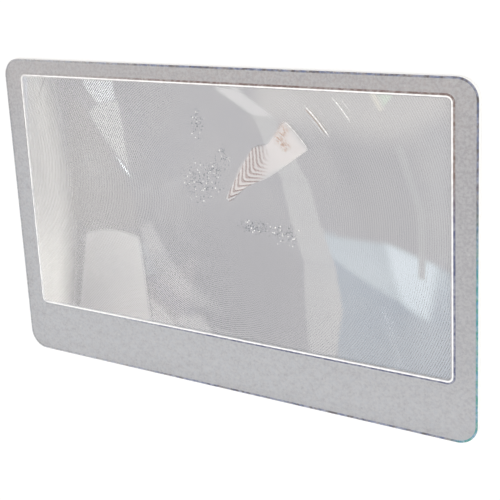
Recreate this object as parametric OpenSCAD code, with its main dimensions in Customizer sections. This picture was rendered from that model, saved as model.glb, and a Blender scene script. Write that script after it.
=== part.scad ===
// Wallet-card Fresnel magnifier: one sheet of clear PVC with a prismatic lens pressed into its
// front face, a raised bead round the lens and a frosted border that is widest at the bottom.
//
// The card lies on its smooth back. X runs along its length, Y up its face towards the narrow
// top border, and Z out of the grooved front. The origin is the middle of the back.

/* [Card] */

// Length of the card, along X
card_length = 85.6; // [76:0.1:110]

// Height of the card's face, along Y
card_height = 54; // [44:0.1:80]

// Thickness of the sheet at its border
card_thickness = 1; // [0.6:0.05:1.6]

// Radius of the four corners of the card
card_corner_radius = 3.18; // [1:0.01:8]

/* [Window] */

// Border left and right of the window, to the middle of the bead
side_border = 3.7; // [2:0.05:10]

// Border above the window, to the middle of the bead
top_border = 2.75; // [2:0.05:10]

// Border below the window, to the middle of the bead
bottom_border = 9.3; // [2:0.05:14]

// Radius of the window's corners, at the middle of the bead
window_corner_radius = 0.9; // [0.7:0.05:6]

/* [Bead] */

// Width of the raised bead where it leaves the face
bead_width = 0.45; // [0.3:0.05:0.8]

// Height of the bead above the face
bead_height = 0.1; // [0.05:0.01:0.14]

// Flat land between the foot of the bead and the grooves
bead_land = 0.08; // [0.05:0.01:0.3]

/* [Lens] */

// Focal length of the lens
focal_length = 150; // [110:1:400]

// Refractive index of the clear PVC
refractive_index = 1.53; // [1.49:0.01:1.6]

// Width of one groove, the same from the centre to the corners
groove_pitch = 0.35; // [0.3:0.01:0.5]

// Depth of the groove crests below the face, which keeps them from being scratched
crest_recess = 0.03; // [0.02:0.005:0.06]

/* [Hidden] */

// Facets of a full circle
$fn = 120;

// The window, to the middle of the bead
window_length = card_length - 2 * side_border;
window_height = card_height - top_border - bottom_border;
window_y = (bottom_border - top_border) / 2;

// The grooved area, inside the bead and its land
lens_inset = bead_width / 2 + bead_land;
lens_length = window_length - 2 * lens_inset;
lens_height = window_height - 2 * lens_inset;
lens_corner_radius = window_corner_radius - lens_inset;

// The bead is an arc of this radius, rooted as deep in the sheet as it stands proud of it
bead_arc_radius = (pow(bead_width / 2, 2) + pow(bead_height, 2)) / (2 * bead_height);
bead_root = bead_height;

// Grooves from the optical axis to the farthest corner of the window
groove_count = ceil(norm([window_length, window_height]) / 2 / groove_pitch);
crest_z = card_thickness - crest_recess;
cutter_top = card_thickness + 2 * bead_height;

// Rise over run of the facet that bends a ray parallel to the axis to the focus
function facet_slope(radius) =
    let (bend = atan(radius / focal_length))
    sin(bend) / (refractive_index - cos(bend));

// Depth of a groove: its facet keeps one slope, the one that is right at its middle
function groove_depth(groove) = groove_pitch * facet_slope((groove + 0.5) * groove_pitch);

// Rectangle with round corners, centred
module rounded_rectangle(length, height, corner_radius) {
    square([length - 2 * corner_radius, height], center = true);
    square([length, height - 2 * corner_radius], center = true);
    for (side_x = [-1, 1], side_y = [-1, 1])
        translate([side_x * (length / 2 - corner_radius), side_y * (height / 2 - corner_radius)])
            circle(r = corner_radius);
}

// The blank sheet
module sheet() {
    linear_extrude(card_thickness)
        rounded_rectangle(card_length, card_height, card_corner_radius);
}

// Cross-section of the bead, with its origin on the face at the middle of the bead
module bead_section() {
    intersection() {
        translate([0, bead_height - bead_arc_radius])
            circle(r = bead_arc_radius);
        translate([-bead_arc_radius, -bead_root])
            square([2 * bead_arc_radius, bead_root + bead_height]);
    }
}

// Straight stretch of the bead, along X
module bead_side(length) {
    rotate([90, 0, 90])
        linear_extrude(length, center = true)
            bead_section();
}

// Quarter turn of the bead, from +X round to +Y
module bead_corner() {
    rotate_extrude(angle = 90)
        translate([window_corner_radius, 0])
            bead_section();
}

// The bead round the window
module bead() {
    corner_x = window_length / 2 - window_corner_radius;
    corner_y = window_height / 2 - window_corner_radius;
    for (side = [-1, 1]) {
        translate([0, side * window_height / 2, 0])
            bead_side(2 * corner_x);
        translate([side * window_length / 2, 0, 0])
            rotate([0, 0, 90])
                bead_side(2 * corner_y);
    }
    translate([corner_x, corner_y, 0]) bead_corner();
    translate([-corner_x, corner_y, 0]) rotate([0, 0, 90]) bead_corner();
    translate([-corner_x, -corner_y, 0]) rotate([0, 0, 180]) bead_corner();
    translate([corner_x, -corner_y, 0]) rotate([0, 0, 270]) bead_corner();
}

// Half section of the air over the lens: a facet falls away from the axis, then a riser
// stands straight up to the next crest
module groove_section() {
    polygon(concat(
        [[0, cutter_top]],
        [for (groove = [0:groove_count - 1]) each [
            [groove * groove_pitch, crest_z],
            [(groove + 1) * groove_pitch, crest_z - groove_depth(groove)]
        ]],
        [[groove_count * groove_pitch, cutter_top]]
    ));
}

// What is pressed out of the face: ring grooves about the axis, bounded by the window
module lens_grooves() {
    intersection() {
        rotate_extrude()
            groove_section();
        linear_extrude(cutter_top)
            rounded_rectangle(lens_length, lens_height, lens_corner_radius);
    }
}

// The card, pressed from one sheet
module lens_card() {
    color("silver")
        difference() {
            union() {
                sheet();
                translate([0, window_y, card_thickness])
                    bead();
            }
            translate([0, window_y, 0])
                lens_grooves();
        }
}

lens_card();
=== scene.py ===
"""Dresses the wallet-card Fresnel lens: clear PVC with a frosted border, in soft room light."""

import math

import bpy
from mathutils import Euler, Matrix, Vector


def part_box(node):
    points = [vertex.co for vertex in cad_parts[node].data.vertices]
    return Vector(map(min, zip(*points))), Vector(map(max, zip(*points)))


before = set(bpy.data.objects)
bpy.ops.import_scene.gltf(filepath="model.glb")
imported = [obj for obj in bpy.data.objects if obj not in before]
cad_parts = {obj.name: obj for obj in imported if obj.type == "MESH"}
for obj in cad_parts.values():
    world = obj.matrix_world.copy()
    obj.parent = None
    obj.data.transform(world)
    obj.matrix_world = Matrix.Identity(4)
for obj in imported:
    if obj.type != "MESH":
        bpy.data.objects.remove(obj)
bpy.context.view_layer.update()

MM = 0.001

# The card, in millimetres from the middle of its back
CARD_LOW, CARD_HIGH = (tuple(c / MM for c in corner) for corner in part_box("lens_card"))
CARD_HALF = ((CARD_HIGH[0] - CARD_LOW[0]) / 2, (CARD_HIGH[1] - CARD_LOW[1]) / 2)
CARD_CORNER = 3.18
BEAD_HEIGHT = 0.1
FACE_Z = CARD_HIGH[2] - BEAD_HEIGHT

# The window, to the middle of its bead
SIDE_BORDER = 3.7
TOP_BORDER = 2.75
BOTTOM_BORDER = 9.3
WINDOW_CORNER = 0.9
WINDOW_HALF = (CARD_HALF[0] - SIDE_BORDER, CARD_HALF[1] - (TOP_BORDER + BOTTOM_BORDER) / 2)
WINDOW_Y = (BOTTOM_BORDER - TOP_BORDER) / 2

# The lens
FOCAL_LENGTH = 150.0
REFRACTIVE_INDEX = 1.53
GROOVE_PITCH = 0.35

# The camera: right of the card and above it, as near as one held in the hand
CAMERA_PLACE = Vector((88.37, 50.70, 134.39))
CAMERA_TURN = Euler([math.radians(a) for a in (-15.81, 32.08, -3.66)], "XYZ")
SENSOR_WIDTH = 36.0
LENS_MM = 75.45
CAMERA_SHIFT = (0.05, -0.17)

# The floor lies just under the card. The camera sees its diffuse colour mixed with white, and
# the rays that pass the card or mirror in it see it at a lower strength
FLOOR_DROP = 0.02
FLOOR_HALF = 3000.0
FLOOR_COLOUR = (0.94, 0.94, 0.94, 1)
FLOOR_WHITE = 0.6
FLOOR_THROUGH = 0.52

WHITE = (1, 1, 1, 1)


# Places of the colour sockets on a Mix node
COLOUR_INPUTS = (6, 7)
COLOUR_OUTPUT = 2

# Dots: how far from its middle a dot starts and ends to fade, as shares of its size, and the
# share of dots that are dark
DOT_FADE = (0.7, 1.2)
DARK_DOTS = 0.75


class Graph:
    """A node tree, with short calls for the maths that the materials use."""

    def __init__(self, tree):
        self.tree = tree
        tree.nodes.clear()

    def node(self, kind, **settings):
        made = self.tree.nodes.new(kind)
        for name, value in settings.items():
            setattr(made, name, value)
        return made

    def put(self, socket, value):
        """Link or set a socket; None leaves it as it is."""
        if isinstance(value, bpy.types.NodeSocket):
            self.tree.links.new(value, socket)
        elif value is not None:
            socket.default_value = value

    def math(self, operation, a, b=None, c=None):
        made = self.node("ShaderNodeMath", operation=operation)
        for socket, value in zip(made.inputs, (a, b, c)):
            self.put(socket, value)
        return made.outputs[0]

    def product(self, *factors):
        result = factors[0]
        for factor in factors[1:]:
            result = self.math("MULTIPLY", result, factor)
        return result

    def vector(self, operation, a, b=None, scale=None, out=0):
        made = self.node("ShaderNodeVectorMath", operation=operation)
        self.put(made.inputs[0], a)
        self.put(made.inputs[1], b)
        if scale is not None:
            made.inputs["Scale"].default_value = scale
        return made.outputs[out]

    def join(self, x, y, z=0.0):
        made = self.node("ShaderNodeCombineXYZ")
        for socket, value in zip(made.inputs, (x, y, z)):
            self.put(socket, value)
        return made.outputs[0]

    def split(self, vector):
        made = self.node("ShaderNodeSeparateXYZ")
        self.put(made.inputs[0], vector)
        return made.outputs

    def smooth(self, value, low, high, to_low=0.0, to_high=1.0):
        """Smooth step of the value, from to_low at low to to_high at high."""
        if low > high:
            low, high, to_low, to_high = high, low, to_high, to_low
        made = self.node("ShaderNodeMapRange", interpolation_type="SMOOTHSTEP")
        settings = (value, low, high, to_low, to_high)
        for name, given in zip(("Value", "From Min", "From Max", "To Min", "To Max"), settings):
            self.put(made.inputs[name], given)
        return made.outputs["Result"]

    def band(self, value, low, high, soft):
        """One between low and high, with soft sides."""
        rise = self.smooth(value, low - soft, low + soft)
        fall = self.smooth(value, high - soft, high + soft, 1.0, 0.0)
        return self.math("MULTIPLY", rise, fall)

    def mix(self, share, a, b):
        """Colour a where the share is zero, b where it is one."""
        made = self.node("ShaderNodeMix", data_type="RGBA")
        self.put(made.inputs["Factor"], share)
        for socket, colour in zip(COLOUR_INPUTS, (a, b)):
            self.put(made.inputs[socket], colour)
        return made.outputs[COLOUR_OUTPUT]

    def noise(self, place, scale, detail=2.0, roughness=0.5):
        made = self.node("ShaderNodeTexNoise")
        self.put(made.inputs["Vector"], place)
        made.inputs["Scale"].default_value = scale
        made.inputs["Detail"].default_value = detail
        made.inputs["Roughness"].default_value = roughness
        return made.outputs["Fac"]

    def dots(self, place, scale, size, density):
        """Small dots at random, as masks of the dark and of the bright ones among them."""
        cells = self.node("ShaderNodeTexVoronoi")
        self.put(cells.inputs["Vector"], place)
        cells.inputs["Scale"].default_value = scale
        chance, tone, _ = self.split(cells.outputs["Color"])
        start, end = (size * share for share in DOT_FADE)
        dot = self.smooth(cells.outputs["Distance"], start, end, 1.0, 0.0)
        dot = self.math("MULTIPLY", dot, self.math("LESS_THAN", chance, density))
        dark = self.math("MULTIPLY", dot, self.math("LESS_THAN", tone, DARK_DOTS))
        return dark, self.math("SUBTRACT", dot, dark)

    def surface(self, shader, kind="ShaderNodeOutputMaterial"):
        self.put(self.node(kind).inputs["Surface"], shader)


def make_camera():
    data = bpy.data.cameras.new("camera")
    data.sensor_width = SENSOR_WIDTH
    data.lens = LENS_MM
    data.shift_x, data.shift_y = CAMERA_SHIFT
    data.clip_start = MM
    camera = bpy.data.objects.new("camera", data)
    camera.location = CAMERA_PLACE * MM
    camera.rotation_euler = CAMERA_TURN
    bpy.context.scene.collection.objects.link(camera)
    bpy.context.scene.camera = camera


def facet_normal(x, y):
    """Normal of the lens's facet at a place on the face, from its focal length and index."""
    radius = math.hypot(x, y - WINDOW_Y)
    bend = math.atan(radius / FOCAL_LENGTH)
    slope = math.sin(bend) / (REFRACTIVE_INDEX - math.cos(bend))
    return Vector((slope * x / radius, slope * (y - WINDOW_Y) / radius, 1)).normalized()


def mirrored(x, y):
    """Direction that the facet at this place mirrors towards the camera."""
    back = (CAMERA_PLACE - Vector((x, y, FACE_Z))).normalized()
    normal = facet_normal(x, y)
    return (2 * normal.dot(back) * normal - back).normalized()


# Radiance of the room, and of the soft lights in it
ROOM = (1.08, 1.05, 1.03, 1)
KEY = (1.9, 1.83, 1.72, 1)
CREAM = (1.35, 1.3, 1.22, 1)
PALE_CREAM = (1.3, 1.28, 1.24, 1)
WINDOW_PALE = (2.2, 2.2, 2.1, 1)
WINDOW_WHITE = (2.9, 3.0, 3.0, 1)
WINDOW_FRAME = (7.0, 7.4, 7.6, 1)
STRIP = (1.72, 1.7, 1.62, 1)
STRIP_HIGH = (2.6, 2.55, 2.45, 1)
THIN_STRIP = (1.45, 1.45, 1.4, 1)
WARM_HIGH = (1.95, 1.86, 1.72, 1)
SKY = (1.7, 2.0, 2.15, 1)
BRIGHT_SKY = (2.7, 3.1, 3.3, 1)
DUSK = (0.85, 1.1, 1.3, 1)
PALE_RIGHT = (1.4, 1.38, 1.34, 1)
PALE_DUSK = (1.25, 1.5, 1.7, 1)
LAMP = (1.9, 1.7, 1.58, 1)
LAMP_BRIGHT = (2.1, 1.88, 1.75, 1)

# The key light is broad and low, on the right
KEY_TURN = math.radians(-10)
KEY_RISE = math.radians(16)
KEY_CORE = math.radians(15)
KEY_REACH = math.radians(42)

# Each other soft light is given by the corners of its image in the facets, in mm on the card,
# by how soft its sides are and by its radiance
SOFT_LIGHTS = [
    (((8, 26), (40, 26), (37, 18), (8, 19)), 0.08, WARM_HIGH),
    (((34.5, 20), (39.5, 20), (39.5, 0.0), (35.5, 0.0)), 0.05, PALE_RIGHT),
    (((19.8, 2.1), (38.6, -1.0), (38.6, -17.2), (20.8, -17.2)), 0.02, DUSK),
    (((14.5, 2.6), (29.7, 2.1), (38.6, -1.1), (38.6, -9.9), (30.7, -6.7), (20.8, -4.0)), 0.02, SKY),
    (((34.2, -4.5), (39.5, -3.5), (39.5, -18.0), (32.0, -18.0)), 0.06, PALE_DUSK),
    (((29.0, 2.0), (36.8, -0.3), (35.6, -9.0), (31.5, -7.0)), 0.02, BRIGHT_SKY),
    (((0.8, 23.8), (5.0, 23.8), (11.2, 19.7), (7.7, 19.7)), 0.008, STRIP_HIGH),
    (((7.7, 19.7), (11.2, 19.7), (16.8, 10.1), (12.1, 10.1)), 0.008, STRIP),
    (((12.1, 10.1), (16.8, 10.1), (20.8, -2.6), (15.4, -2.6)), 0.008, STRIP),
    (((15.4, -2.6), (20.8, -2.6), (21.8, -9.4), (20.4, -17.2), (15.9, -17.2)), 0.008, STRIP),
    (((30.7, 16.9), (31.9, 16.9), (35.1, 7.2), (34.0, 7.2)), 0.008, THIN_STRIP),
    (((34.0, 7.2), (35.1, 7.2), (35.1, -2.6), (34.0, -2.6)), 0.008, THIN_STRIP),
    (((-38.6, 20), (-33.7, 24), (-31.2, 13), (-29.2, 3.3), (-38.6, 3.3)), 0.03, CREAM),
    (((-38.6, 3.3), (-29.2, 3.3), (-29.7, -8.4), (-30.2, -17.2), (-38.6, -17.2)), 0.03, CREAM),
    (((-27.9, -0.6), (-15.2, -2.4), (-15.0, -12.3), (-14.9, -17.2), (-29.7, -17.2)), 0.01,
     PALE_CREAM),
    (((-15.3, -13.8), (-5.9, -15.3), (5.9, -17.2), (-15.3, -17.2)), 0.01, PALE_CREAM),
    (((-15.2, -2.4), (-13.5, 0.5), (-9.9, -5.5), (-12.7, -7.3)), 0.02, PALE_CREAM),
    (((-12.7, -7.3), (-9.9, -5.5), (-5.4, -9.4), (-7.9, -11.2)), 0.02, PALE_CREAM),
    (((-7.9, -11.2), (-5.4, -9.4), (0.0, -12.5), (-2.0, -13.8)), 0.02, PALE_CREAM),
    (((-22.7, 20.0), (-18.3, 21.0), (-17.6, 16.1), (-16.9, 8.0), (-22.1, 14.5), (-23.9, 16.6),
      (-24.3, 18.8)), 0.006, WINDOW_PALE),
    (((-26.2, 24.4), (-24.3, 21.9), (-22.6, 20.1), (-18.8, 21.0), (-19.1, 24.4)), 0.004,
     WINDOW_WHITE),
    (((-22.1, 14.5), (-19.5, 11.9), (-17.8, 9.5), (-16.8, 7.8), (-18.1, 9.2), (-19.8, 11.6)),
     0.002, WINDOW_FRAME),
    (((2.3, 6.0), (4.5, 11.1), (7.2, 14.6), (9.4, 14.7), (12.9, 12.4), (7.1, 9.1)), 0.004, LAMP),
    (((9.4, 14.7), (12.7, 19.0), (16.6, 15.0), (12.9, 12.4)), 0.004, LAMP_BRIGHT),
]

# Where the card's areas fade into each other: the window, in mm out from the middle of its
# bead; the cut wall, in mm out from the card's outline; the front, in mm below the face; and
# the wall again, by the height of its normal
WINDOW_EDGE = (-0.25, -0.2)
WALL_EDGE = (-0.03, -0.01)
FRONT_DEPTH = (0.1, 0.05)
UPRIGHT = (0.2, 0.4)

# The span of a noise over which a mask rises, from soft to crisp
SOFT_NOISE = (0.3, 0.7)
GRAIN_NOISE = (0.35, 0.65)
CRISP_NOISE = (0.42, 0.58)

# The border: cool at the lower left and warm at the upper right, by shares of X and Y, then
# warmer along the top, darker at the right, mottled and speckled
FROST_LEAN = (0.45, 0.75)
FROST_SPAN = (-0.6, 1.2)
FROST_COOL = (0.80, 0.83, 0.88, 1)
FROST_WARM = (0.60, 0.56, 0.58, 1)
FROST_TOP = (0.80, 0.70, 0.64, 1)
FROST_TOP_SPAN = (12.0, 26.0)
FROST_TOP_SHARE = 0.35
FROST_RIGHT = (0.40, 0.42, 0.46, 1)
FROST_RIGHT_SPAN = (38.0, 40.5)
FROST_RIGHT_FOOT = (-22.0, -15.0)
FROST_RIGHT_SHARE = 0.2
MOTTLE = (0.56, 0.55, 0.58, 1)
MOTTLE_SHARE = 0.8
GRAIN = (0.92, 0.92, 0.93, 1)
GRAIN_SHARE = 0.7
DARK_SPECK = (0.40, 0.40, 0.44, 1)
DARK_SPECK_SHARE = 0.35
BRIGHT_SPECK_SHARE = 0.7

# The clear window, and the darker area in its middle
CLEAR_COOL = (0.69, 0.69, 0.73, 1)
CLEAR_WARM = (0.72, 0.715, 0.745, 1)
CLEAR_DARK = (0.625, 0.625, 0.665, 1)
DARK_MIDDLE = (4.0, -8.0)
DARK_REACH = 17.0
DARK_SPAN = (0.3, 1.1)

# Painted reflections in the window, tinted shapes of what the facets mirror: corners in mm,
# softness in mm and colour
PAINTED_REFLECTIONS = [
    (((-38.9, 24.0), (-37.9, 24.0), (-38.9, 13.0)), 0.4, (0.66, 0.70, 0.84, 1)),
    (((-29.7, 21.0), (-24.8, 19.0), (-22.2, 14.4), (-17.2, 7.8), (-15.6, -1.0), (-27.5, -2.6),
      (-31.0, 0.0), (-30.2, 9.7)), 0.9, (0.71, 0.70, 0.72, 1)),
    (((-17.0, -3.5), (-14.6, -3.5), (-12.8, -8.8), (-15.6, -9.5)), 0.6, (0.79, 0.80, 0.85, 1)),
    (((-15.6, -9.5), (-12.8, -8.8), (-9.6, -11.8), (-12.2, -13.6)), 0.6, (0.69, 0.69, 0.74, 1)),
    (((-12.2, -13.6), (-9.6, -11.8), (-5.0, -14.2), (-8.0, -15.8)), 0.6, (0.69, 0.69, 0.74, 1)),
    (((26.6, 24.2), (27.6, 24.2), (28.8, 21.6), (28.3, 21.6)), 0.15, (1.0, 0.99, 0.92, 1)),
    (((27.9, 24.2), (30.4, 24.0), (28.9, 22.2)), 0.3, (0.80, 0.91, 0.84, 1)),
]

# Arcs are given by radius, half width and softness in mm, angles in degrees, and the angle
# over which their ends fade
DARK_ARC = (39.55, 0.10, 0.05, (147, 154), 2.0)
DARK_ARC_COLOUR = (0.35, 0.35, 0.38, 1)

# Painted glare: a milky white where the window mirrors light, and a broad sheet of it at the far
# left: its right side bulges by the square of the height above the axis, and it is thin right of
# that side and gone further in
GLARE_WHITE = (0.97, 0.965, 0.95, 1)
GLARE_SIDE = -29.5
GLARE_BULGE = -0.0045
GLARE_FADE = (-5.0, 2.0)
GLARE_HEIGHT = (-12.0, 8.0)
GLARE_LOW, GLARE_HIGH, GLARE_THIN = 0.79, 0.56, 0.18
GLARE_END = (-27.0, -10.0)

# Pale shapes of painted glare: corners in mm, softness in mm and share of glare
GLARE_SHAPES = [
    (((-16.0, -0.4), (-14.4, -5.6), (-10.4, -4.6), (-11.6, -1.8), (-13.4, 0.6)), 0.8, 0.20),
    (((-14.4, -5.6), (-11.6, -10.0), (-8.0, -7.6), (-10.4, -4.6)), 0.8, 0.12),
    (((-11.6, -10.0), (-6.0, -13.8), (-2.0, -12.4), (-8.0, -7.6)), 0.8, 0.11),
    (((-9.5, -15.4), (-4.0, -14.4), (-2.0, -17.8), (-7.5, -17.8)), 0.6, 0.24),
    (((-27.8, -3.1), (-24.3, -1.9), (-19.9, -1.6), (-15.8, -2.4), (-15.2, -9.0), (-14.5, -18.0),
      (-31.0, -18.0)), 0.7, 0.43),
    (((-14.8, -12.6), (-12.3, -14.2), (-8.5, -17.9), (-14.5, -17.9)), 0.6, 0.28),
]

# The lamp's glint, painted as glare: where it starts and ends, and the angle of each side, which
# changes
# from one radius to another: two radii in mm, then the two angles in degrees
STREAK_START = 3.4
STREAK_END = 20.5
STREAK_SOFT = 0.15
STREAK_GLARE = 0.32
RIGHT_TURN = (6.0, 12.5, 42.0, 35.0)
LEFT_TURN = (13.0, 16.0, 58.0, 51.0)
RIGHT_SOFT = 0.6
LEFT_SOFT = 1.0

# The glint's fringes, painted as dark moiré in it: the angle their arches stand at and its turn for
# each mm, how blunt an arch is in degrees and how far out each degree takes it in mm, the radius of
# the first one, how many there are in a mm and how that grows, how much they wander, and how they
# fade
FRINGE = (0.24, 0.14, 0.13, 1)
FRINGE_SHARE = 0.85
FRINGE_ANGLE = 52.8
FRINGE_TURN = -0.5
FRINGE_BLUNT = 3.0
FRINGE_REACH = 0.27
FIRST_FRINGE = 5.72
FRINGE_RATE = 0.76
FRINGE_GROWTH = 0.03
FRINGE_WOBBLE = 0.4
FRINGE_EDGE = (-0.3, 0.6)
FRINGE_END = 15.0
FRINGE_FADE = (11.5, FRINGE_END)
FRINGE_FADE_TURN = -0.25
GROOVE_EDGE = (-0.6, 0.6)
GROOVE_CUT = 0.55

# Orange-brown marks at the glint's outer end, drawn out along the grooves: a polygon and an arc
ORANGE_MARK = (0.55, 0.30, 0.16, 1)
ORANGE_MARK_SHARE = 0.8
ORANGE_MARK_STRETCH = (2.4, 0.22)
ORANGE_MARK_EDGE = (0.45, 0.56)
ORANGE_MARK_SHAPE = ((11.0, 16.6), (12.6, 19.0), (13.6, 18.0), (12.6, 16.0), (11.6, 15.4))
ORANGE_MARK_SOFT = 0.7
ORANGE_MARK_ARC = (17.7, 0.7, 0.4, (41, 46), 1.5)

# Painted glints on groove crests: radius and half width in mm, strength, and angles in degrees
CREST_GLINTS = [
    (24.70, 0.08, 1.0, (35, 48)),
    (24.12, 0.07, 0.8, (36, 44)),
    (28.93, 0.09, 1.0, (35, 43)),
    (29.83, 0.05, 0.5, (37, 42)),
    (26.00, 0.04, 0.4, (40, 46)),
    (20.55, 0.06, 1.0, (36, 50)),
]
CREST_GLINT_SOFT = 0.05
CREST_GLINT_FADE = 1.5
CREST_GLINT_EDGE = (0.35, 0.6)
CREST_GLINT_LEAST = 0.5
BROWN_ARC = (24.42, 0.1, 0.06, (37, 47), 1.5)
BROWN_SHARE = 0.7

# Clusters of speckle: centre and half size in mm, and density
CLUSTERS = [
    ((6.8, 1.9), (3.2, 1.2), 0.95),
    ((11.8, 1.3), (3.4, 1.7), 0.65),
    ((-0.6, 10.2), (2.8, 1.8), 0.7),
    ((-3.2, 8.2), (4.2, 3.8), 0.45),
    ((1.6, 12.8), (1.8, 2.2), 0.4),
    ((-2.8, 17.6), (1.3, 2.6), 0.65),
]
CLUSTER_FADE = (0.1, 1.2)
DARK_DOT = (0.16, 0.20, 0.24, 1)
DARK_DOT_SHARE = 0.95
# Painted glints: the colour of the bright dots and of the crests, and the glare they add
GLINT = (1.0, 1.0, 0.98, 1)
GLINT_GLARE = 0.8

# A mark takes its own colour as soon as this much of it shows
MARK_EDGE = (0.0, 0.2)

# The bead, in mm out from its middle: a painted white highlight on top, with painted shade at its
# outer foot. Both are fainter at the left
BEAD_HIGHLIGHT = (-0.15, 0.07)
FOOT_SHADE = (0.09, 0.40)
LINE_SOFT = 0.03
BEAD_HIGHLIGHT_EDGE = (0.35, 0.55)
BEAD_HIGHLIGHT_LEAST = 0.7
BEAD_HIGHLIGHT_LOST_LEFT = 0.4
BEAD_HIGHLIGHT_LEFT_END = -30.0
FOOT_SHADE_EDGE = (0.42, 0.62)
FOOT_SHADE_LEAST = 0.7
FOOT_SHADE_LEFT = 0.25
FOOT_SHADE_HIGH = (0.16, 0.11, 0.10, 1)
FOOT_SHADE_LOW = (0.07, 0.08, 0.17, 1)
FOOT_SHADE_SPAN = (14.0, 4.0)

# The dark line round the card's face, painted shade of the cut edge: black and blue, and green and
# teal at the lower right
RIM_LINE = (-0.38, -0.32)
RIM_EDGE = (0.4, 0.6)
RIM_LEAST = 0.75
RIM_LEFT = 0.45
RIM_BLACK = (0.07, 0.06, 0.07, 1)
RIM_BLUE = (0.10, 0.13, 0.24, 1)
RIM_GREEN = (0.03, 0.24, 0.20, 1)
RIM_TEAL = (0.07, 0.24, 0.38, 1)
TEAL_ACROSS = (38.0, 41.0)
TEAL_UP = (12.0, -4.0)
WALL = (0.88, 0.89, 0.89, 1)

# How much light passes the border, the window and the solid lines, how matt the first two are,
# the gloss that a dark mark takes away, the coat of gloss, and the border's bumps in mm
CLEAR_BORDER, CLEAR_WINDOW, CLEAR_SOLID = 0.85, 0.95, 0.05
MATT_BORDER, MATT_WINDOW = 0.45, 0.03
GLOSS_LOST = 0.8
COAT_IOR = 1.8
COAT_ROUGHNESS = 0.03
BUMP_DEPTH = 0.01
BUMP_STRENGTH = 0.5


def make_world():
    """An even room with soft lights in it; the camera sees it white."""
    world = bpy.data.worlds.new("room")
    world.use_nodes = True
    bpy.context.scene.world = world
    g = Graph(world.node_tree)
    direction = g.vector("NORMALIZE", g.node("ShaderNodeTexCoord").outputs["Generated"])
    level = math.cos(KEY_RISE)
    key = (level * math.cos(KEY_TURN), level * math.sin(KEY_TURN), math.sin(KEY_RISE))
    toward_key = g.vector("DOT_PRODUCT", direction, key, out=1)
    lit = g.smooth(toward_key, math.cos(KEY_REACH), math.cos(KEY_CORE))
    light = g.mix(lit, ROOM, KEY)
    for corners, softness, colour in SOFT_LIGHTS:
        points = [mirrored(*corner) for corner in corners]
        middle = sum(points, Vector())
        sides = []
        for a, b in zip(points, points[1:] + points[:1]):
            side = a.cross(b).normalized()
            side *= math.copysign(1, side.dot(middle))
            depth = g.vector("DOT_PRODUCT", direction, tuple(side), out=1)
            sides.append(g.smooth(depth, -softness, softness))
        light = g.mix(g.product(*sides), light, colour)
    camera_ray = g.node("ShaderNodeLightPath").outputs["Is Camera Ray"]
    background = g.node("ShaderNodeBackground")
    g.put(background.inputs["Color"], g.mix(camera_ray, light, WHITE))
    g.surface(background.outputs[0], "ShaderNodeOutputWorld")


def make_floor():
    mesh = bpy.data.meshes.new("floor")
    half = FLOOR_HALF * MM
    z = -FLOOR_DROP * MM
    corners = [(-half, -half, z), (half, -half, z), (half, half, z), (-half, half, z)]
    mesh.from_pydata(corners, [], [(0, 1, 2, 3)])
    floor = bpy.data.objects.new("floor", mesh)
    bpy.context.scene.collection.objects.link(floor)

    material = bpy.data.materials.new("floor")
    material.use_nodes = True
    mesh.materials.append(material)
    g = Graph(material.node_tree)
    path = g.node("ShaderNodeLightPath")
    camera_ray = path.outputs["Is Camera Ray"]
    through = g.math("MAXIMUM", path.outputs["Is Transmission Ray"], path.outputs["Is Glossy Ray"])
    diffuse = g.node("ShaderNodeBsdfDiffuse")
    diffuse.inputs["Color"].default_value = FLOOR_COLOUR
    glow = g.node("ShaderNodeEmission")
    strength = g.math("MULTIPLY_ADD", camera_ray, 1.0 - FLOOR_THROUGH, FLOOR_THROUGH)
    g.put(glow.inputs["Strength"], strength)
    both = g.node("ShaderNodeMixShader")
    g.put(both.inputs[0], g.math("MULTIPLY_ADD", camera_ray, FLOOR_WHITE, through))
    g.put(both.inputs[1], diffuse.outputs[0])
    g.put(both.inputs[2], glow.outputs[0])
    g.surface(both.outputs[0])


def rounded_distance(g, x, y, half, corner):
    """Distance to a rectangle with round corners, below zero inside it."""
    over_x = g.math("SUBTRACT", g.math("ABSOLUTE", x), half[0] - corner)
    over_y = g.math("SUBTRACT", g.math("ABSOLUTE", y), half[1] - corner)
    outer = g.join(g.math("MAXIMUM", over_x, 0.0), g.math("MAXIMUM", over_y, 0.0))
    inner = g.math("MINIMUM", g.math("MAXIMUM", over_x, over_y), 0.0)
    return g.math("SUBTRACT", g.math("ADD", g.vector("LENGTH", outer, out=1), inner), corner)


class Card:
    """Where a point of the card lies, as sockets in millimetres and as masks."""

    def __init__(self, g):
        self.place = g.vector("SCALE", g.node("ShaderNodeTexCoord").outputs["Object"], scale=1 / MM)
        self.x, self.y, z = g.split(self.place)
        self.lens_y = g.math("SUBTRACT", self.y, WINDOW_Y)
        self.radius = g.vector("LENGTH", g.join(self.x, self.lens_y), out=1)
        self.angle = g.math("DEGREES", g.math("ARCTAN2", self.lens_y, self.x))
        self.to_edge = rounded_distance(g, self.x, self.y, CARD_HALF, CARD_CORNER)
        self.to_bead = rounded_distance(g, self.x, self.lens_y, WINDOW_HALF, WINDOW_CORNER)
        up = g.split(g.node("ShaderNodeNewGeometry").outputs["True Normal"])[2]
        upright = g.smooth(g.math("ABSOLUTE", up), *UPRIGHT, 1.0, 0.0)
        self.front = g.smooth(z, *(FACE_Z - depth for depth in FRONT_DEPTH))
        self.window = g.smooth(self.to_bead, *WINDOW_EDGE, 1.0, 0.0)
        self.wall = g.product(g.smooth(self.to_edge, *WALL_EDGE), upright)


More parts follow.
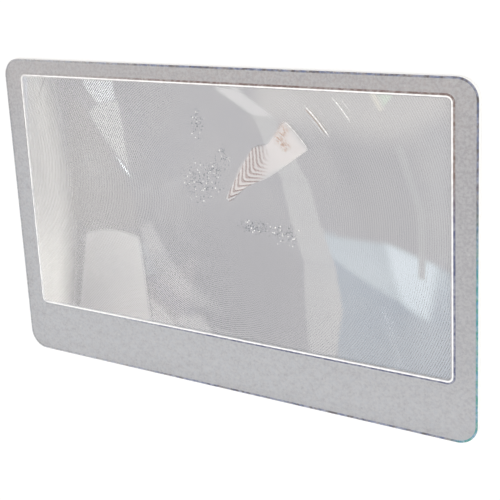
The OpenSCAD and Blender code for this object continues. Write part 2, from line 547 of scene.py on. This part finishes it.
def frosted_colour(g, card, grain):
    """The border: grey, warmer and darker to the upper right, with mottling and specks."""
    lean = g.math("MULTIPLY", card.y, FROST_LEAN[1] / CARD_HALF[1])
    lean = g.math("MULTIPLY_ADD", card.x, FROST_LEAN[0] / CARD_HALF[0], lean)
    colour = g.mix(g.smooth(lean, *FROST_SPAN), FROST_COOL, FROST_WARM)
    colour = g.mix(g.smooth(card.y, *FROST_TOP_SPAN, 0.0, FROST_TOP_SHARE), colour, FROST_TOP)
    right = g.smooth(card.x, *FROST_RIGHT_SPAN, 0.0, FROST_RIGHT_SHARE)
    right = g.math("MULTIPLY", right, g.smooth(card.y, *FROST_RIGHT_FOOT))
    colour = g.mix(right, colour, FROST_RIGHT)
    mottle = g.noise(card.place, scale=0.9, detail=4.0, roughness=0.7)
    colour = g.mix(g.smooth(mottle, *SOFT_NOISE, MOTTLE_SHARE, 0.0), colour, MOTTLE)
    colour = g.mix(g.smooth(grain, *GRAIN_NOISE, 0.0, GRAIN_SHARE), colour, GRAIN)
    dark, bright = g.dots(card.place, scale=0.9, size=0.16, density=0.35)
    colour = g.mix(g.math("MULTIPLY", dark, DARK_SPECK_SHARE), colour, DARK_SPECK)
    return g.mix(g.math("MULTIPLY", bright, BRIGHT_SPECK_SHARE), colour, WHITE)


def polygon(g, card, corners, soft):
    """One inside a convex polygon on the face, with soft sides; all in mm."""
    middle = [sum(values) / len(corners) for values in zip(*corners)]
    inside = 1.0
    for (ax, ay), (bx, by) in zip(corners, corners[1:] + corners[:1]):
        length = math.hypot(bx - ax, by - ay)
        across = ((ay - by) / length, (bx - ax) / length)
        depth = across[0] * (middle[0] - ax) + across[1] * (middle[1] - ay)
        across = (math.copysign(1, depth) * across[0], math.copysign(1, depth) * across[1])
        start = across[0] * ax + across[1] * ay
        along = g.vector("DOT_PRODUCT", card.place, (*across, 0), out=1)
        inside = g.math("MULTIPLY", inside, g.smooth(along, start - soft, start + soft))
    return inside


def arc(g, card, radius, half, soft, angles, fade):
    """A thin arc about the lens's axis: radius and half width in mm, angles in degrees."""
    line = g.band(card.radius, radius - half, radius + half, soft)
    return g.math("MULTIPLY", line, g.band(card.angle, *angles, fade))


def lens_colour(g, card):
    """The clear window: nearly even, darker in the middle, with tinted painted reflections and a
    dark arc.
    """
    cloud = g.noise(card.place, scale=0.12, detail=2.0, roughness=0.5)
    colour = g.mix(g.smooth(cloud, *SOFT_NOISE), CLEAR_COOL, CLEAR_WARM)
    aside = g.math("DIVIDE", g.math("SUBTRACT", card.x, DARK_MIDDLE[0]), DARK_REACH)
    below = g.math("DIVIDE", g.math("SUBTRACT", card.y, DARK_MIDDLE[1]), DARK_REACH)
    distance = g.vector("LENGTH", g.join(aside, below), out=1)
    colour = g.mix(g.smooth(distance, *DARK_SPAN, 1.0, 0.0), colour, CLEAR_DARK)
    # Painted reflections: tinted shapes of what the facets mirror
    for corners, soft, reflected_tint in PAINTED_REFLECTIONS:
        colour = g.mix(polygon(g, card, corners, soft), colour, reflected_tint)
    return g.mix(arc(g, card, *DARK_ARC), colour, DARK_ARC_COLOUR)


def streak_sector(g, card, end):
    """The sector where the lamp glints, out to a radius in mm."""
    right = g.smooth(card.radius, *RIGHT_TURN)
    left = g.smooth(card.radius, *LEFT_TURN)
    past_right = g.smooth(g.math("SUBTRACT", card.angle, right), -RIGHT_SOFT, RIGHT_SOFT)
    before_left = g.smooth(g.math("SUBTRACT", left, card.angle), -LEFT_SOFT, LEFT_SOFT)
    return g.product(past_right, before_left, g.band(card.radius, STREAK_START, end, STREAK_SOFT))


def painted_glare_share(g, card):
    """Painted glare, milky white: a sheet at the far left, thicker low down, pale shapes and the
    glint's streak.
    """
    height = g.math("MULTIPLY", card.lens_y, card.lens_y)
    side = g.math("MULTIPLY_ADD", height, GLARE_BULGE, GLARE_SIDE)
    past = g.math("SUBTRACT", card.x, side)
    thick = g.smooth(card.y, *GLARE_HEIGHT, GLARE_LOW, GLARE_HIGH)
    glare = g.smooth(past, *GLARE_FADE, thick, GLARE_THIN)
    glare = g.math("MULTIPLY", glare, g.smooth(card.x, *GLARE_END, 1.0, 0.0))
    for corners, soft, share in GLARE_SHAPES:
        shape = g.math("MULTIPLY", polygon(g, card, corners, soft), share)
        glare = g.math("MAXIMUM", glare, shape)
    streak = g.math("MULTIPLY", streak_sector(g, card, STREAK_END), STREAK_GLARE)
    return g.math("MAXIMUM", glare, streak)


def moire(g, card):
    """Painted moiré fringes in the glint, nested like arches that open outward, cut up by the
    grooves.
    """
    middle = g.math("MULTIPLY_ADD", card.radius, FRINGE_TURN, FRINGE_ANGLE)
    aside = g.math("SUBTRACT", card.angle, middle)
    arch = g.math("SQRT", g.math("MULTIPLY_ADD", aside, aside, FRINGE_BLUNT ** 2))
    reach = g.math("MULTIPLY_ADD", arch, FRINGE_REACH, -FRINGE_REACH * FRINGE_BLUNT)
    past = g.math("SUBTRACT", g.math("SUBTRACT", card.radius, reach), FIRST_FRINGE)
    turns = g.math("MULTIPLY", past, g.math("MULTIPLY_ADD", past, FRINGE_GROWTH, FRINGE_RATE))
    wobble = g.noise(card.place, scale=2.5, detail=2.0, roughness=0.6)
    turns = g.math("ADD", turns, g.math("MULTIPLY", wobble, FRINGE_WOBBLE))
    wave = g.math("COSINE", g.math("MULTIPLY", turns, 2 * math.pi))
    fringe = g.smooth(wave, *FRINGE_EDGE)
    groove = g.math("SINE", g.math("MULTIPLY", card.radius, 2 * math.pi / GROOVE_PITCH))
    fringe = g.math("MULTIPLY", fringe, g.smooth(groove, *GROOVE_EDGE, GROOVE_CUT, 1.0))
    fade = g.math("MULTIPLY_ADD", aside, FRINGE_FADE_TURN, card.radius)
    fade = g.smooth(fade, *FRINGE_FADE, 1.0, 0.0)
    return g.product(fringe, streak_sector(g, card, FRINGE_END), fade, FRINGE_SHARE)


def orange_marks(g, card):
    """Orange-brown marks along the grooves at the glint's outer end."""
    out = g.math("MULTIPLY", card.radius, ORANGE_MARK_STRETCH[0])
    round_axis = g.math("MULTIPLY", card.angle, ORANGE_MARK_STRETCH[1])
    rough = g.noise(g.join(out, round_axis), scale=1.8, detail=3.0, roughness=0.8)
    shape = polygon(g, card, ORANGE_MARK_SHAPE, ORANGE_MARK_SOFT)
    spread = g.math("MAXIMUM", shape, arc(g, card, *ORANGE_MARK_ARC))
    return g.product(g.smooth(rough, *ORANGE_MARK_EDGE), spread)


def crest_glints(g, card):
    """Painted glints on groove crests beyond the glint, and the brown between two of them."""
    shine = 0.0
    for radius, half, strength, angles in CREST_GLINTS:
        line = arc(g, card, radius, half, CREST_GLINT_SOFT, angles, CREST_GLINT_FADE)
        shine = g.math("MAXIMUM", shine, g.math("MULTIPLY", line, strength))
    rough = g.noise(card.place, scale=2.2, detail=2.0, roughness=0.6)
    patchy = g.smooth(rough, *CREST_GLINT_EDGE, CREST_GLINT_LEAST, 1.0)
    return g.math("MULTIPLY", shine, patchy), arc(g, card, *BROWN_ARC)


def speckle(g, card):
    """Clusters of dark dots and of bright dots, painted glints, near the axis."""
    near = 0.0
    for centre, half, density in CLUSTERS:
        across = g.math("DIVIDE", g.math("SUBTRACT", card.x, centre[0]), half[0])
        along = g.math("DIVIDE", g.math("SUBTRACT", card.y, centre[1]), half[1])
        distance = g.vector("LENGTH", g.join(across, along), out=1)
        near = g.math("MAXIMUM", near, g.smooth(distance, *CLUSTER_FADE, density, 0.0))
    return g.dots(card.place, scale=3.4, size=0.38, density=near)


def paint_marks(g, card, colour):
    """The window's marks on its colour: painted glints, painted moiré, orange-brown marks and dark
    dots, with masks of the bright and of the dark ones.
    """
    shine, brown = crest_glints(g, card)
    dark_dots, bright_dots = speckle(g, card)
    bright = g.product(card.window, g.math("MAXIMUM", shine, bright_dots))
    fringe = moire(g, card)
    orange = g.math("MULTIPLY", orange_marks(g, card), ORANGE_MARK_SHARE)
    orange = g.math("MAXIMUM", orange, g.math("MULTIPLY", brown, BROWN_SHARE))
    dark_dots = g.math("MULTIPLY", dark_dots, DARK_DOT_SHARE)
    dark = g.math("MAXIMUM", g.math("MAXIMUM", fringe, orange), dark_dots)
    dark = g.product(card.window, dark)
    dark_colour = g.mix(g.smooth(dark_dots, *MARK_EDGE), FRINGE, DARK_DOT)
    dark_colour = g.mix(g.smooth(orange, *MARK_EDGE), dark_colour, ORANGE_MARK)
    colour = g.mix(dark, colour, dark_colour)
    return g.mix(bright, colour, GLINT), bright, dark


def paint_bead(g, card, colour):
    """The bead: a painted white highlight along it, and painted shade at its outer foot."""
    fleck = g.noise(card.place, scale=1.6, detail=3.0, roughness=0.7)
    bead_highlight = g.band(card.to_bead, *BEAD_HIGHLIGHT, LINE_SOFT)
    at_left = g.smooth(card.x, -CARD_HALF[0], BEAD_HIGHLIGHT_LEFT_END, 1.0, 0.0)
    least = g.math("MULTIPLY_ADD", at_left, -BEAD_HIGHLIGHT_LOST_LEFT, BEAD_HIGHLIGHT_LEAST)
    bead_highlight = g.product(bead_highlight, card.front, g.smooth(fleck, *BEAD_HIGHLIGHT_EDGE, least, 1.0))
    foot_shade = g.product(g.band(card.to_bead, *FOOT_SHADE, LINE_SOFT), card.front)
    foot_shade = g.product(foot_shade, g.smooth(card.x, -CARD_HALF[0], 0.0, FOOT_SHADE_LEFT, 1.0))
    foot_shade = g.product(foot_shade, g.smooth(fleck, *FOOT_SHADE_EDGE, 1.0, FOOT_SHADE_LEAST))
    foot_shade_colour = g.mix(g.smooth(card.y, *FOOT_SHADE_SPAN), FOOT_SHADE_HIGH, FOOT_SHADE_LOW)
    colour = g.mix(foot_shade, colour, foot_shade_colour)
    return g.mix(bead_highlight, colour, WHITE), bead_highlight, foot_shade


def paint_rim(g, card, colour):
    """The cut edge: a dark line of painted shade round the face, teal at the lower right, and a
    pale wall.
    """
    # Painted shade round the face, broken into patches
    rim = g.product(g.smooth(card.to_edge, *RIM_LINE), card.front)
    patch = g.smooth(g.noise(card.place, scale=1.1, detail=3.0, roughness=0.7), *CRISP_NOISE)
    rim_colour = g.mix(patch, RIM_BLACK, RIM_BLUE)
    teal = g.mix(patch, RIM_GREEN, RIM_TEAL)
    at_right = g.product(g.smooth(card.x, *TEAL_ACROSS), g.smooth(card.y, *TEAL_UP))
    rim_colour = g.mix(at_right, rim_colour, teal)
    rim_patches = g.noise(card.place, scale=0.9, detail=4.0, roughness=0.8)
    rim_patches = g.smooth(rim_patches, *RIM_EDGE, 1.0, RIM_LEAST)
    rim = g.product(rim, rim_patches, g.smooth(card.x, -CARD_HALF[0], 0.0, RIM_LEFT, 1.0))
    colour = g.mix(rim, colour, rim_colour)
    return g.mix(card.wall, colour, WALL), rim


def make_card_material():
    material = bpy.data.materials.new("clear_pvc")
    material.use_nodes = True
    g = Graph(material.node_tree)
    card = Card(g)
    grain = g.noise(card.place, scale=2.2, detail=3.0, roughness=0.7)

    colour = g.mix(card.window, frosted_colour(g, card, grain), lens_colour(g, card))
    # Painted glare: milky white where the window mirrors light
    painted_glare = g.product(card.window, painted_glare_share(g, card))
    colour = g.mix(painted_glare, colour, GLARE_WHITE)
    colour, bright, dark = paint_marks(g, card, colour)
    # The bead's painted highlight and painted shade
    colour, bead_highlight, foot_shade = paint_bead(g, card, colour)
    colour, rim = paint_rim(g, card, colour)

    # How much shows through, and how matt and glossy each area is
    solid = g.math("MAXIMUM", bead_highlight, card.wall)
    solid = g.math("MAXIMUM", solid, g.math("MAXIMUM", rim, foot_shade))
    # The painted glints add painted glare
    painted_glare = g.math("MAXIMUM", painted_glare, g.math("MULTIPLY", bright, GLINT_GLARE))
    clear = g.smooth(card.window, 0.0, 1.0, CLEAR_BORDER, CLEAR_WINDOW)
    clear = g.math("MULTIPLY", clear, g.math("SUBTRACT", 1.0, painted_glare))
    matt = g.smooth(card.window, 0.0, 1.0, MATT_BORDER, MATT_WINDOW)
    gloss = g.product(card.window, g.math("MULTIPLY_ADD", dark, -GLOSS_LOST, 1.0))
    bump = g.node("ShaderNodeBump")
    bump.inputs["Distance"].default_value = BUMP_DEPTH * MM
    g.put(bump.inputs["Strength"], g.smooth(card.window, 0.0, 1.0, BUMP_STRENGTH, 0.0))
    g.put(bump.inputs["Height"], grain)

    shader = g.node("ShaderNodeBsdfPrincipled")
    shader.inputs["IOR"].default_value = REFRACTIVE_INDEX
    shader.inputs["Coat IOR"].default_value = COAT_IOR
    shader.inputs["Coat Roughness"].default_value = COAT_ROUGHNESS
    g.put(shader.inputs["Base Color"], colour)
    g.put(shader.inputs["Roughness"], matt)
    g.put(shader.inputs["Transmission Weight"], g.smooth(solid, 0.0, 1.0, clear, CLEAR_SOLID))
    g.put(shader.inputs["Coat Weight"], gloss)
    g.put(shader.inputs["Normal"], bump.outputs["Normal"])
    g.surface(shader.outputs[0])
    return material


def dress_card():
    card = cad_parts["lens_card"]
    card.data.materials.clear()
    card.data.materials.append(make_card_material())


bpy.context.scene.view_settings.view_transform = "Standard"
make_camera()
make_world()
make_floor()
dress_card()
